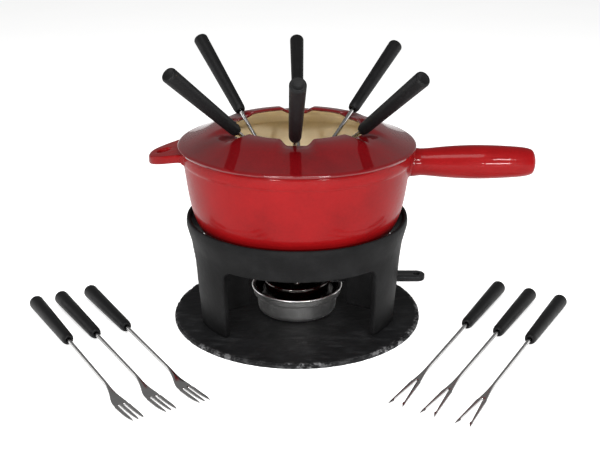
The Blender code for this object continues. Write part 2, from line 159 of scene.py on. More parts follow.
# ---------------------------------------------------------------- materials
class Graph:
    """A node material: its Principled BSDF, and short calls that add the nodes that feed it."""

    def __init__(self, name, colour, roughness, **sockets):
        self.mat = bpy.data.materials.new(name)
        self.mat.use_nodes = True
        self.tree = self.mat.node_tree
        self.bsdf = self.tree.nodes["Principled BSDF"]
        self.set("Base Color", (*colour, 1.0))
        self.set("Roughness", roughness)
        for socket, value in sockets.items():
            self.set(socket.replace("_", " "), value)
        self.coords = self.tree.nodes.new("ShaderNodeTexCoord").outputs["Object"]

    def set(self, socket, value):
        self.bsdf.inputs[socket].default_value = value

    def link(self, a, b):
        self.tree.links.new(a, b)

    def feed(self, socket, output):
        self.link(output, self.bsdf.inputs[socket])

    def stretched(self, scale, turn=(0, 0, 0)):
        """Object coordinates, scaled and turned."""
        m = self.tree.nodes.new("ShaderNodeMapping")
        m.inputs["Scale"].default_value = scale
        m.inputs["Rotation"].default_value = turn
        self.link(self.coords, m.inputs["Vector"])
        return m.outputs["Vector"]

    def noise(self, scale, detail=3.0, rough=0.5, vector=None, distortion=0.0):
        n = self.tree.nodes.new("ShaderNodeTexNoise")
        n.inputs["Scale"].default_value = scale
        n.inputs["Detail"].default_value = detail
        n.inputs["Roughness"].default_value = rough
        n.inputs["Distortion"].default_value = distortion
        self.link(vector or self.coords, n.inputs["Vector"])
        return n.outputs["Fac"]

    def cells(self, scale):
        n = self.tree.nodes.new("ShaderNodeTexVoronoi")
        n.inputs["Scale"].default_value = scale
        self.link(self.coords, n.inputs["Vector"])
        return n.outputs["Distance"]

    def ramp(self, fac, stops):
        n = self.tree.nodes.new("ShaderNodeValToRGB")
        while len(n.color_ramp.elements) < len(stops):
            n.color_ramp.elements.new(0.5)
        for e, (at, colour) in zip(n.color_ramp.elements, stops):
            e.position = at
            e.color = (*colour, 1.0)
        self.link(fac, n.inputs["Fac"])
        return n.outputs["Color"]

    def spread(self, fac, low, high, start=0.3, end=0.7):
        """Maps the part of fac from start to end onto low to high."""
        n = self.tree.nodes.new("ShaderNodeMapRange")
        for socket, value in (("From Min", start), ("From Max", end),
                              ("To Min", low), ("To Max", high)):
            n.inputs[socket].default_value = value
        self.link(fac, n.inputs["Value"])
        return n.outputs["Result"]

    def mix(self, fac, a, b):
        n = self.tree.nodes.new("ShaderNodeMix")
        n.data_type = "RGBA"
        for socket, value in (("Factor", fac), ("A", a), ("B", b)):
            target = next(i for i in n.inputs if i.name == socket and i.enabled)
            if isinstance(value, bpy.types.NodeSocket):
                self.link(value, target)
            else:
                target.default_value = (*value, 1.0) if isinstance(value, tuple) else value
        return next(o for o in n.outputs if o.enabled)

    def math(self, op, a, b=0.0):
        n = self.tree.nodes.new("ShaderNodeMath")
        n.operation = op
        for target, value in zip(n.inputs, (a, b)):
            if isinstance(value, bpy.types.NodeSocket):
                self.link(value, target)
            else:
                target.default_value = value
        return n.outputs["Value"]

    def axis(self, letter):
        n = self.tree.nodes.new("ShaderNodeSeparateXYZ")
        self.link(self.coords, n.inputs["Vector"])
        return n.outputs[letter]

    def radius(self):
        """Distance from the object's own upright axis."""
        x, y = self.axis("X"), self.axis("Y")
        squares = self.math("MULTIPLY", x, x), self.math("MULTIPLY", y, y)
        return self.math("SQRT", self.math("ADD", *squares))

    def bump(self, *layers):
        """Each layer is (height, depth in metres, strength)."""
        normal = None
        for height, depth, strength in layers:
            n = self.tree.nodes.new("ShaderNodeBump")
            n.inputs["Distance"].default_value = depth
            n.inputs["Strength"].default_value = strength
            self.link(height, n.inputs["Height"])
            if normal:
                self.link(normal, n.inputs["Normal"])
            normal = n.outputs["Normal"]
        self.feed("Normal", normal)
        return normal


def slate_material():
    g = Graph("slate", (0.022, 0.023, 0.025), 0.62, Specular_IOR_Level=0.09)
    grain = g.noise(1.0, 7.0, 0.62, g.stretched((55, 210, 300), (0, 0, math.radians(-24))), 0.6)
    mottle = g.noise(38.0, 5.0, 0.6)
    dust = g.noise(520.0, 4.0, 0.7)
    stone = g.ramp(g.mix(0.45, grain, mottle), [(0.34, (0.0022, 0.0022, 0.0024)),
                                                (0.52, (0.0055, 0.0056, 0.0060)),
                                                (0.70, (0.0190, 0.0193, 0.0200))])
    specks = g.spread(dust, 0.0, 1.0, 0.66, 0.76)
    colour = g.mix(g.math("MULTIPLY", specks, 0.35), stone, (0.16, 0.16, 0.165))
    # broken stone along the edge shows paler
    rim = g.spread(g.radius(), 0.0, 1.0, SLATE_R - 0.0050, SLATE_R - 0.0008)
    flake = g.spread(g.noise(150.0, 6.0, 0.72), 0.0, 1.0, 0.50, 0.60)
    patch = g.spread(g.noise(14.0, 2.0, 0.5), 0.10, 1.0, 0.42, 0.62)
    broken = g.math("MULTIPLY", g.math("MULTIPLY", rim, flake), patch)
    colour = g.mix(g.math("MULTIPLY", broken, 0.72), colour, (0.26, 0.26, 0.265))
    g.feed("Base Color", colour)
    g.feed("Roughness", g.spread(grain, 0.52, 0.74))
    g.bump((grain, 0.00045, 0.55), (dust, 0.00012, 0.5))
    return g.mat


def iron_material():
    g = Graph("black_cast_iron", (0.013, 0.013, 0.0135), 0.55, Specular_IOR_Level=0.09)
    sand = g.noise(1500.0, 4.0, 0.65)
    pits = g.cells(720.0)
    broad = g.noise(45.0, 4.0, 0.55)
    g.feed("Base Color", g.ramp(g.mix(0.5, broad, sand), [(0.38, (0.0012, 0.0012, 0.0013)),
                                                          (0.53, (0.0042, 0.0042, 0.0044)),
                                                          (0.70, (0.0120, 0.0120, 0.0124))]))
    g.feed("Roughness", g.spread(g.mix(0.5, broad, sand), 0.47, 0.66))
    # inner faces were left as they came out of the sand
    inside = g.spread(g.radius(), 1.0, 0.0, 0.0955, 0.0975)
    coarse = g.math("MULTIPLY", g.noise(650.0, 5.0, 0.7), inside)
    g.bump((broad, 0.0012, 0.10), (pits, 0.00012, 0.22), (sand, 0.00010, 0.42),
           (coarse, 0.0005, 0.75))
    return g.mat


def enamel_material(name, colour, dark, light, shine=0.05, ripple=0.00009, coat=0.15):
    """Vitreous enamel: a clear coat with faint ripple over colour that darkens where it thins out
    on sharp edges. shine is the coat's roughness."""
    g = Graph(name, colour, 0.36, Specular_IOR_Level=0.04, Coat_Weight=coat,
              Coat_Roughness=shine, Coat_IOR=1.5)
    cloud = g.noise(24.0, 4.0, 0.5)
    mottle = g.noise(420.0, 3.0, 0.6)
    tone = g.ramp(g.mix(0.35, cloud, mottle), [(0.30, dark), (0.50, colour), (0.72, light)])
    geometry = g.tree.nodes.new("ShaderNodeNewGeometry")
    thin = g.spread(geometry.outputs["Pointiness"], 0.0, 0.55, 0.535, 0.62)
    tone = g.mix(thin, tone, tuple(0.35 * c for c in dark))
    g.feed("Base Color", tone)
    g.feed("Roughness", g.spread(mottle, 0.30, 0.44))
    peel = g.noise(170.0, 2.0, 0.45)
    normal = g.bump((peel, ripple, 0.9), (cloud, 0.0009, 0.05))
    g.feed("Coat Normal", normal)
    return g.mat


def steel_material(name, colour, rough, spin=False):
    """Polished stainless steel with fine lines: rings about the axis if spin, otherwise along the
    axis. rough is the lowest and highest roughness."""
    g = Graph(name, colour, rough[0], Metallic=1.0)
    if spin:
        rings = g.tree.nodes.new("ShaderNodeTexNoise")
        rings.noise_dimensions = "1D"
        rings.inputs["Scale"].default_value = 2600.0
        rings.inputs["Detail"].default_value = 4.0
        # the upright walls get their rings from the height
        along = g.math("ADD", g.radius(), g.math("MULTIPLY", g.axis("Z"), 0.8))
        g.link(along, rings.inputs["W"])
        lines = rings.outputs["Fac"]
    else:
        lines = g.noise(1.0, 4.0, 0.6, g.stretched((1900, 1900, 40)))
    smear = g.noise(60.0, 4.0, 0.55)
    both = g.mix(0.5, lines, smear)
    g.feed("Roughness", g.spread(both, *rough))
    g.feed("Base Color", g.ramp(smear, [(0.30, tuple(0.84 * c for c in colour)), (0.70, colour)]))
    g.bump((lines, 0.00007 if spin else 0.000016, 0.55), (smear, 0.0002, 0.05))
    return g.mat


def plastic_material(name, colour, rough, grain, depth):
    """Moulded black plastic with a fine spark-eroded grain."""
    g = Graph(name, colour, rough, Specular_IOR_Level=0.12)
    fine = g.noise(grain, 3.0, 0.6)
    wear = g.noise(70.0, 4.0, 0.6)
    tones = [(0.32, tuple(0.72 * c for c in colour)), (0.70, tuple(1.45 * c for c in colour))]
    g.feed("Base Color", g.ramp(g.mix(0.4, wear, fine), tones))
    g.feed("Roughness", g.spread(wear, rough - 0.07, rough + 0.09))
    g.bump((fine, depth, 0.5), (wear, 0.0005, 0.06))
    return g.mat


def wool_material():
    g = Graph("burner_wool", (0.66, 0.63, 0.56), 0.95, Sheen_Weight=0.25)
    fibre = g.noise(1.0, 6.0, 0.7, g.stretched((700, 2600, 900)), 1.5)
    g.feed("Base Color", g.ramp(fibre, [(0.3, (0.40, 0.37, 0.31)), (0.7, (0.74, 0.71, 0.64))]))
    g.bump((fibre, 0.0006, 0.8))
    return g.mat


def gauze_material():
    g = Graph("steel_gauze", (0.34, 0.33, 0.32), 0.38, Metallic=1.0)
    pitch = 0.0009
    wires = []
    for letter in "XY":
        wave = g.math("SINE", g.math("MULTIPLY", g.axis(letter), math.tau / pitch))
        wires.append(g.math("ABSOLUTE", wave))
    weave = g.math("MAXIMUM", wires[0], wires[1])
    g.feed("Base Color", g.ramp(weave, [(0.55, (0.030, 0.029, 0.028)),
                                        (0.80, (0.40, 0.39, 0.37))]))
    g.bump((weave, 0.0003, 0.8))
    return g.mat


SLATE = slate_material()
IRON = iron_material()
RED = enamel_material("red_enamel", (0.165, 0.0026, 0.0034), (0.125, 0.0020, 0.0027),
                      (0.195, 0.0034, 0.0042))
# the guard is the pot's red enamel with darker colours: painted shade and painted reflection of the
# dark fork handles over its upward faces
RED_GUARD_PAINTED_SHADE = enamel_material("red_enamel_guard", (0.100, 0.0008, 0.0020), (0.078, 0.0006, 0.0016),
                          (0.125, 0.0012, 0.0028), shine=0.02, ripple=0.00004, coat=0.85)
CREAM = enamel_material("cream_enamel", (0.92, 0.80, 0.58), (0.86, 0.74, 0.52),
                        (0.95, 0.85, 0.65), shine=0.10)
STEEL_SPUN = steel_material("spun_steel", (0.95, 0.945, 0.93), (0.28, 0.40), spin=True)
# the burner's cover and lid are the same polished steel as the cup, painted nearly black: painted
# shade and painted reflection of the dark pot above them
STEEL_PAINTED_SHADE = steel_material("steel_painted_shade", (0.13, 0.122, 0.118), (0.05, 0.12), spin=True)
STEEL_DRAWN = steel_material("drawn_steel", (0.42, 0.415, 0.41), (0.12, 0.24))
BURNER_BLACK = plastic_material("black_plastic", (0.0075, 0.0075, 0.0080), 0.34, 2300.0,
                                0.00005)
FORK_BLACK = plastic_material("fork_plastic", (0.0034, 0.0034, 0.0036), 0.46, 2100.0, 0.00008)
WOOL = wool_material()
GAUZE = gauze_material()


# ---------------------------------------------------------------- mesh helpers
pieces = bpy.data.collections.new("fondue_set_looks")
bpy.context.scene.collection.children.link(pieces)


def around(azimuth, radius, z=0.0):
    """A point at that azimuth, in degrees from -Y towards +X."""
    a = math.radians(azimuth)
    return Vector((radius * math.sin(a), -radius * math.cos(a), z))


def frame_of(x, y, z):
    """A 4x4 matrix that turns the local axes to these three directions."""
    return Matrix((x, y, z)).transposed().to_4x4()


def to_mesh(bm, name):
    me = bpy.data.meshes.new(name)
    bm.to_mesh(me)
    bm.free()
    return me


def piece(name, mesh, *mats):
    ob = bpy.data.objects.new(name, mesh)
    for m in mats:
        if m.name not in [k.name for k in mesh.materials if k]:
            mesh.materials.append(m)
    pieces.objects.link(ob)
    return ob


def soften(points, closed=False, steps=6):
    """Rounds a polyline. Each point is (a, b) or (a, b, cut): cut is how far from the corner the
    curve starts, by default at the middle of either side; 0 keeps the corner sharp."""
    n = len(points)
    out = []
    for i, p in enumerate(points):
        here = Vector(p[:2])
        if not closed and i in (0, n - 1):
            out.append(tuple(here))
            continue
        before, after = Vector(points[i - 1][:2]) - here, Vector(points[(i + 1) % n][:2]) - here
        half = 0.5 * min(before.length, after.length)
        cut = min(p[2], half) if len(p) > 2 else None
        if cut is not None and cut < 1e-6:
            out.append(tuple(here))
            continue
        a = here + before * (0.5 if cut is None else cut / before.length)
        b = here + after * (0.5 if cut is None else cut / after.length)
        for k in range(steps + 1):
            t = k / steps
            out.append(tuple((1 - t) ** 2 * a + 2 * t * (1 - t) * here + t * t * b))
    clean = [out[0]]
    for p in out[1:]:
        if (Vector(p) - Vector(clean[-1])).length > 2e-6:
            clean.append(p)
    if closed and (Vector(clean[0]) - Vector(clean[-1])).length < 2e-6:
        clean.pop()
    return clean


def fill_in(points, longest):
    """Adds points so that no side of the polyline is longer than `longest`."""
    out = []
    for a, b in zip(points, points[1:]):
        a, b = Vector(a), Vector(b)
        cuts = max(1, math.ceil((b - a).length / longest))
        out += [tuple(a.lerp(b, k / cuts)) for k in range(cuts)]
    return out + [tuple(points[-1])]


def bridge(bm, upper, lower, steps, slot=0):
    """A band of faces between two rows of vertices; a row of one vertex is a centre point."""
    for j in range(steps):
        m = (j + 1) % steps
        ring = [upper[j % len(upper)], lower[j % len(lower)], lower[m % len(lower)],
                upper[m % len(upper)]]
        corners = [v for c, v in enumerate(ring) if v not in ring[:c]]
        if len(corners) > 2:
            f = bm.faces.new(corners)
            f.smooth = True
            f.material_index = slot


def turned(name, profile, angles, mats, closed=False, paint=None):
    """Mesh turned about Z. The profile (radius, height) runs down the outer side. angles is a
    number of equal steps, or a list in degrees. paint(i) picks the material slot of the band that
    starts at point i of the profile."""
    if isinstance(angles, int):
        angles = [360.0 * k / angles for k in range(angles)]
    bm = bmesh.new()
    rings = []
    for r, z in profile:
        if r < 1e-7:
            rings.append([bm.verts.new((0.0, 0.0, z))])
        else:
            rings.append([bm.verts.new((r * math.cos(math.radians(a)),
                                        r * math.sin(math.radians(a)), z)) for a in angles])
    for i in range(len(rings) if closed else len(rings) - 1):
        slot = paint(i) if paint else 0
        bridge(bm, rings[i], rings[(i + 1) % len(rings)], len(angles), slot)
    me = to_mesh(bm, name)
    for m in mats:
        me.materials.append(m)
    return me


def apply(ob):
    """Applies the object's modifiers to its mesh."""
    bpy.context.view_layer.update()
    dg = bpy.context.evaluated_depsgraph_get()
    me = bpy.data.meshes.new_from_object(ob.evaluated_get(dg))
    ob.modifiers.clear()
    ob.data = me


def combine(ob, other, operation="UNION"):
    """Exact Boolean, applied at once; the other object is removed."""
    m = ob.modifiers.new("cut", "BOOLEAN")
    m.operation = operation
    m.solver = "EXACT"
    m.object = other
    if operation == "UNION":
        m.material_mode = "TRANSFER"
    apply(ob)
    bpy.data.objects.remove(other, do_unlink=True)


def sharpen(me, degrees=38.0):
    me.shade_smooth()
    me.set_sharp_from_angle(angle=math.radians(degrees))


def rounded_plate(name, outlines, half, edge, mat):
    """Flat shape in local XY with rounded edges, `half` either side of Z = 0. The first outline is
    the shape's, later ones are holes."""
    cu = bpy.data.curves.new(name, "CURVE")
    cu.dimensions = "2D"
    cu.fill_mode = "BOTH"
    cu.extrude = half - edge
    cu.bevel_depth = edge
    cu.bevel_resolution = 3
    cu.offset = -edge
    for outline in outlines:
        sp = cu.splines.new("POLY")
        sp.points.add(len(outline) - 1)
        for p, (x, y) in zip(sp.points, outline):
            p.co = (x, y, 0.0, 1.0)
        sp.use_cyclic_u = True
    ob = bpy.data.objects.new(name, cu)
    pieces.objects.link(ob)
    cu.materials.append(mat)
    bpy.context.view_layer.update()
    me = bpy.data.meshes.new_from_object(ob.evaluated_get(bpy.context.evaluated_depsgraph_get()))
    bpy.data.objects.remove(ob, do_unlink=True)
    bm = bmesh.new()
    bm.from_mesh(me)
    bmesh.ops.remove_doubles(bm, verts=bm.verts, dist=1e-6)
    bmesh.ops.recalc_face_normals(bm, faces=bm.faces)
    bm.to_mesh(me)
    bm.free()
    return piece(name, me, mat)


def circle(x, r, n=40):
    """Outline of a round hole on the X axis."""
    return [(x + r * math.cos(math.tau * k / n), r * math.sin(math.tau * k / n)) for k in range(n)]


def smoothstep(t):
    t = min(1.0, max(0.0, t))
    return t * t * (3.0 - 2.0 * t)


def fit(ob, body, node):
    """The piece moves with a body and stands for a CAD node."""
    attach(ob, body)
    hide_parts(node)


# ---------------------------------------------------------------- slate base
def slate_plate():
    """A split slate disc: low relief on top, and an edge broken back in thin layers."""
    bm = bmesh.new()

    def edge_loss(a, layer):
        """How far a layer's edge is broken back, in metres."""
        p = Vector((9.0 * math.cos(a), 9.0 * math.sin(a), 3.7 * layer))
        slow = 0.5 + 0.5 * noise.noise(p)
        chip = max(0.0, noise.noise(p * 3.1) - 0.05)
        fine = noise.noise(p * 11.0)
        return 0.0009 * slow + 0.0026 * chip + 0.00030 * fine

    def relief(x, y):
        """Height of the split face over its mean level: long ridges and soft dips."""
        ridges = noise.fractal(Vector((x * 46 + y * 20, y * 150 - x * 66, 1.3)), 0.8, 2.1, 4)
        return 0.00022 * ridges + 0.00016 * noise.noise(Vector((x * 24, y * 24, 7.0)))

    turns = [math.tau * k / SLATE_STEPS for k in range(SLATE_STEPS)]
    face = SLATE_T - SLATE_SINK
    rows = [[bm.verts.new((0, 0, face))]]
    for ring in range(1, SLATE_RINGS + 1):
        r = SLATE_R * ring / SLATE_PITCHES
        rows.append([])
        for a in turns:
            x, y = r * math.cos(a), r * math.sin(a)
            rows[-1].append(bm.verts.new((x, y, face + relief(x, y))))
    last = len(SLATE_EDGE) - 1
    for layer, (z, back, row, share) in enumerate(SLATE_EDGE):
        rows.append([])
        for a in turns:
            r = SLATE_R - max(0.0, back + edge_loss(a, row) * share)
            x, y = r * math.cos(a), r * math.sin(a)
            height = z
            if layer == 0:
                height += relief(x, y)
            elif layer < last:
                height += 0.00025 * noise.noise(Vector((30 * math.cos(a), 30 * math.sin(a),
                                                        2.0 * layer)))
            rows[-1].append(bm.verts.new((x, y, height)))
    rows.append([bm.verts.new((0, 0, 0))])
    for upper, lower in zip(rows, rows[1:]):
        bridge(bm, upper, lower, SLATE_STEPS)
    me = to_mesh(bm, "slate_plate")
    sharpen(me, 32.0)
    return piece("slate_plate", me, SLATE)


fit(slate_plate(), "slate", "slate_base")


# ---------------------------------------------------------------- stand
def stand():
    outer = [(0.1072, STAND_TOP), (0.1090, STAND_TOP - 0.0008), (0.1098, STAND_TOP - 0.0045),
             (0.1096, 0.1012), (0.1060, 0.0885), (0.1045, 0.0820), (0.1032, 0.0600),
             (0.1011, 0.0300), (0.0998, STAND_BOTTOM, 0.0)]
    inner = [(p[0] - STAND_WALL, p[1]) + p[2:] for p in reversed(outer[3:])]
    inner.append((0.1044, STAND_TOP - 0.0030))
    me = turned("stand", soften(outer + inner, True, 5), 240, [IRON], closed=True)
    ob = piece("stand_cast", me)
    ob.rotation_euler.z = math.radians(STAND_TURN)
    apply(ob)
    for k in range(3):
        bm = bmesh.new()
        bmesh.ops.create_cube(bm, size=2.0)
        for v in bm.verts:
            half, z = (ARCH_HALF_TOP, ARCH_TOP) if v.co.z > 0 else (ARCH_HALF_BOTTOM, CUTTER_LOW)
            v.co = around(v.co.x * half, CUTTER_IN if v.co.y > 0 else CUTTER_OUT, z)
        bmesh.ops.recalc_face_normals(bm, faces=bm.faces)
        # the two top edges that run outwards
        top = [e for e in bm.edges if all(v.co.z > 0 for v in e.verts)
               and abs(e.verts[0].co.length - e.verts[1].co.length) > 0.02]
        bmesh.ops.bevel(bm, geom=top, offset=ARCH_CORNER, offset_type="OFFSET", segments=12,
                        profile=0.5, affect="EDGES")
        arch = piece("arch", to_mesh(bm, "arch"), IRON)
        arch.rotation_euler.z = math.radians(STAND_TURN + 120.0 * k)
        combine(ob, arch, "DIFFERENCE")
    for k in range(3):
        r0, z0 = FIN_TIP_R, FIN_BOTTOM
        outline = soften([(r0, FIN_TOP, 0.0), (r0, z0 + 0.006), (r0 + 0.0010, z0 + 0.0010),
                          (r0 + 0.0060, z0), (0.0985, z0, 0.0), (0.0993, FIN_TOP, 0.0)], True)
        fin = rounded_plate("fin", [outline], FIN_T / 2, 0.0008, IRON)
        out = around(STAND_TURN + 60.0 + 120.0 * k, 1.0)
        up = Vector((0, 0, 1))
        fin.matrix_world = frame_of(out, up, out.cross(up))
        combine(ob, fin)
    m = ob.modifiers.new("grain", "REMESH")
    m.mode = "VOXEL"
    m.voxel_size = STAND_VOXEL
    apply(ob)
    m = ob.modifiers.new("ease", "SMOOTH")
    m.factor, m.iterations = 0.5, 4
    apply(ob)
    # broad lumps and fine ones, as cast; the foot and the fins' tops are ground level
    normals = [v.normal.copy() for v in ob.data.vertices]
    for v, normal in zip(ob.data.vertices, normals):
        lump = 0.00018 * noise.noise(v.co * 55.0) + 0.00006 * noise.noise(v.co * 210.0)
        v.co += normal * lump
        v.co.z = max(v.co.z, STAND_BOTTOM)
        if math.hypot(v.co.x, v.co.y) < FIN_ZONE_R and v.co.z > FIN_TOP - FIN_LEVEL_DROP:
            v.co.z = FIN_TOP - FIN_LEVEL_DROP
    ob.data.materials.clear()
    ob.data.materials.append(IRON)
    ob.data.shade_smooth()
    return ob


fit(stand(), "stand", "stand_casting")


# ---------------------------------------------------------------- pot
def pot():
    inner = [(0.0, POT_FLOOR - 0.0003), (0.0700, POT_FLOOR), (0.0790, 0.0892), (0.0875, 0.0942),
             (0.0958, 0.1050), (0.1010, 0.1230), (0.1070, 0.1640), (0.1080, 0.1740),
             (0.1081, POT_RIM, 0.0007)]
    outer = [(0.1112, POT_RIM, 0.0008), (0.1125, POT_RIM - 0.0016), (0.1126, 0.1735),
             (0.1124, 0.1695), (0.1116, 0.1674), (0.1108, 0.1662), (0.1104, 0.1640),
             (0.1094, 0.1560), (0.1060, 0.1290), (0.1027, 0.1140), (0.0964, 0.0990),
             (0.0884, 0.0892), (0.0785, POT_BASE), (0.0700, POT_BASE), (0.0, POT_BASE + 0.0003)]
    curve = soften(inner + outer, steps=5)
    # fine bands where the handle and the ear grow out of the wall
    low = next(i for i in range(len(curve) - 1, 0, -1) if curve[i][1] > 0.1450)
    high = next(i for i, p in enumerate(curve) if p[1] > POT_RIM - 0.0004)
    profile = curve[:high] + fill_in(curve[high:low], 0.0014) + curve[low:]
    rim = next(i for i, p in enumerate(profile) if p[1] > POT_RIM - 0.0004)

    # steps round the pot are also finer there
    angles, a = [], 0.0
    while a < 360.0 - 1e-6:
        angles.append(a)
        near = min(a, 360.0 - a) < 13.0 or abs(a - 180.0) < 24.0
        a += 0.5 if near else 1.5
    me = turned("pot", profile, angles, [RED, CREAM], paint=lambda i: 1 if i < rim else 0)
    # the wall swells into the handle and the ear
    for v in me.vertices:
        r = math.hypot(v.co.x, v.co.y)
        if r < SWELL_R or v.co.z < SWELL_Z:
            continue
        swell = 0.0
        if v.co.x > 0.09:
            off = math.hypot(v.co.y / HANDLE_WIDE, v.co.z - HANDLE_Z)
            swell = HANDLE_ROOT_R + FILLET - off
        elif v.co.x < -0.09:
            swell = min(EAR_T / 2 + FILLET - abs(v.co.z - (EAR_TOP - EAR_T / 2)),
                        EAR_HALF_WIDE + FILLET - abs(v.co.y))
        swell = min(FILLET * 0.97, max(0.0, swell))
        if v.co.z > POT_RIM - SWELL_FADE:
            swell *= max(0.0, (POT_RIM - v.co.z) / SWELL_FADE)
        lift = FILLET - math.sqrt(FILLET ** 2 - swell ** 2)
        k = (r + min(lift, FILLET_MOST)) / r
        v.co.x *= k
        v.co.y *= k
    ob = piece("pot_body", me)

    grip = [(0.0, 0.2325), (0.0060, 0.2323), (0.0118, 0.2300, 0.0022), (0.0141, 0.2235),
            (0.0153, 0.2100), (0.0164, 0.1880), (0.0165, 0.1680), (0.0154, 0.1470),
            (0.0136, 0.1290), (0.0131, 0.1210), (0.0136, 0.1165), (0.0142, 0.1125),
            (0.0142, 0.1100, 0.0), (0.0, 0.1103)]
    me = turned("grip", fill_in(soften(grip, steps=5), 0.0040), 64, [RED])
    handle = piece("grip", me)
    handle.matrix_world = (Matrix.Translation((0.0, 0.0, HANDLE_Z))
                           @ Matrix.Rotation(math.pi / 2, 4, "Y")
                           @ Matrix.Diagonal((1.0, HANDLE_WIDE, 1.0, 1.0)))
    combine(ob, handle)

    arc = [tuple(around(-90.0 - a, 0.1105)[:2]) + (0.0,)
           for a in (0.0, 3.0, 6.0, 9.0, 12.0, 15.0, 17.5)]
    half = arc + [(-0.1120, EAR_HALF_WIDE), (-0.1190, 0.0287), (-0.1300, 0.0235),
                  (-0.1390, 0.0166), (-0.1434, 0.0096), (-0.1446, 0.0)]
    outline = soften(half + [(p[0], -p[1]) + p[2:] for p in reversed(half[1:-1])], True)
    hole = circle(EAR_HOLE_X, EAR_HOLE_R)
    ear = rounded_plate("ear", [outline, hole], EAR_T / 2, 0.0016, RED)
    for v in ear.data.vertices:
        v.co.z += EAR_TOP - EAR_T / 2 - EAR_DROOP * max(0.0, EAR_BEND_X - v.co.x)
    combine(ob, ear)
    sharpen(ob.data, 34.0)
    return ob


fit(pot(), "pot", "pot_casting")


# ---------------------------------------------------------------- splash guard
def guard():
    top = [(0.0604, 0.1992, 0.0007), (0.0614, 0.2008, 0.0008), (0.0720, 0.2003), (0.0830, 0.1968),
           (0.0930, 0.1914), (0.1010, 0.1877), (0.1080, 0.1849), (0.1138, 0.1829, 0.0022),
           (0.1156, 0.1813, 0.0010), (0.1150, GUARD_SEAT, 0.0004)]
    under = [(0.1069, GUARD_SEAT, 0.0004), (0.1062, 0.1752, 0.0006), (0.1040, 0.1752, 0.0006),
             (0.1034, 0.1826, 0.0020), (0.0930, 0.1875), (0.0825, 0.1932), (0.0730, 0.1967),
             (0.0616, 0.1975, 0.0007)]
    outside, inside = fill_in(soften(top), 0.0018), fill_in(soften(under), 0.0018)
    first, last = len(outside), len(outside) + len(inside) - 2
    me = turned("guard", outside + inside, 360, [RED_GUARD_PAINTED_SHADE, CREAM], closed=True,
                paint=lambda i: 1 if first < i < last else 0)
    for v in me.vertices:
        r = math.hypot(v.co.x, v.co.y)
        az = math.degrees(math.atan2(v.co.x, -v.co.y))
        off = abs((az + 30.0) % 60.0 - 30.0)
        g = smoothstep((NOTCH_END - off) / (NOTCH_END - NOTCH_FLAT))
        v.co.z -= NOTCH_DOWN * g * smoothstep((DOWN_FROM - r) / (DOWN_FROM - DOWN_FULL))
        k = (r + NOTCH_IN * g * min(1.0, max(0.0, (IN_FROM - r) / (IN_FROM - IN_FULL)))) / r
        v.co.x *= k
        v.co.y *= k
    sharpen(me, 40.0)
    return piece("guard_ring", me)


fit(guard(), "guard", "splash_guard")


